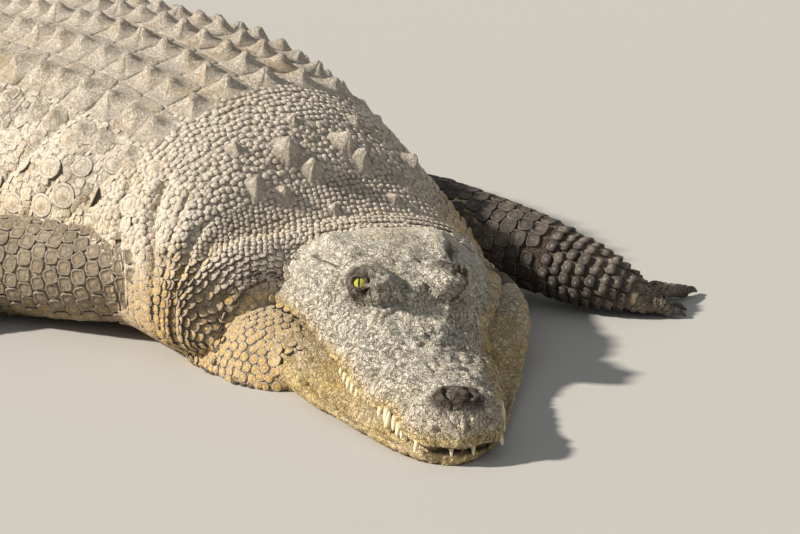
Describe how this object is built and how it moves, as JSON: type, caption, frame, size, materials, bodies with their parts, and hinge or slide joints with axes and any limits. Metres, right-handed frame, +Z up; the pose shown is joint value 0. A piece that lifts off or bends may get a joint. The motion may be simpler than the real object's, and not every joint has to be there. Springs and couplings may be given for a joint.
{
  "type": "nile crocodile",
  "caption": "Life-size still model of a heavy adult crocodile resting on its belly, head turned to its right, with keeled back shields, finned tail and splayed legs.",
  "frame": {"origin": "flat of the belly on the floor under the middle of the trunk", "axes": "+X forward along the trunk, +Y to the animal's left, +Z up"},
  "size_m": [3.4333, 1.4756, 0.4294],
  "materials": {
    "head_hide": "dusty grey-beige skin, cracked and pitted, dull",
    "jaw_hide": "ochre skin with fine dark seams, dull",
    "body_hide": "dusty grey-beige keeled shields and scales, dull",
    "limb_hide": "dark grey-brown scales with pale rims, ochre below",
    "eye": "wet glossy yellow-green eye with a dark upright slit",
    "claw": "blunt grey horn"
  },
  "bodies": {
    "root": {"head_upper": "head_hide", "lower_jaw": "jaw_hide", "eye_left": "eye", "eye_right": "eye", "neck": "body_hide", "trunk_front": "body_hide", "trunk_rear": "body_hide", "tail_base": "body_hide", "tail_middle": "body_hide", "tail_tip": "body_hide", "upper_arm_left": "limb_hide", "forearm_left": "limb_hide", "hand_left": "limb_hide", "thigh_left": "limb_hide", "shin_left": "limb_hide", "foot_left": "limb_hide", "upper_arm_right": "limb_hide", "forearm_right": "limb_hide", "hand_right": "limb_hide", "thigh_right": "limb_hide", "shin_right": "limb_hide", "foot_right": "limb_hide", "hand_claw_left_1": "claw", "hand_claw_left_2": "claw", "hand_claw_left_3": "claw", "hand_claw_right_1": "claw", "hand_claw_right_2": "claw", "hand_claw_right_3": "claw", "foot_claw_left_1": "claw", "foot_claw_left_2": "claw", "foot_claw_left_3": "claw", "foot_claw_right_1": "claw", "foot_claw_right_2": "claw", "foot_claw_right_3": "claw"}
  },
  "joints": []
}
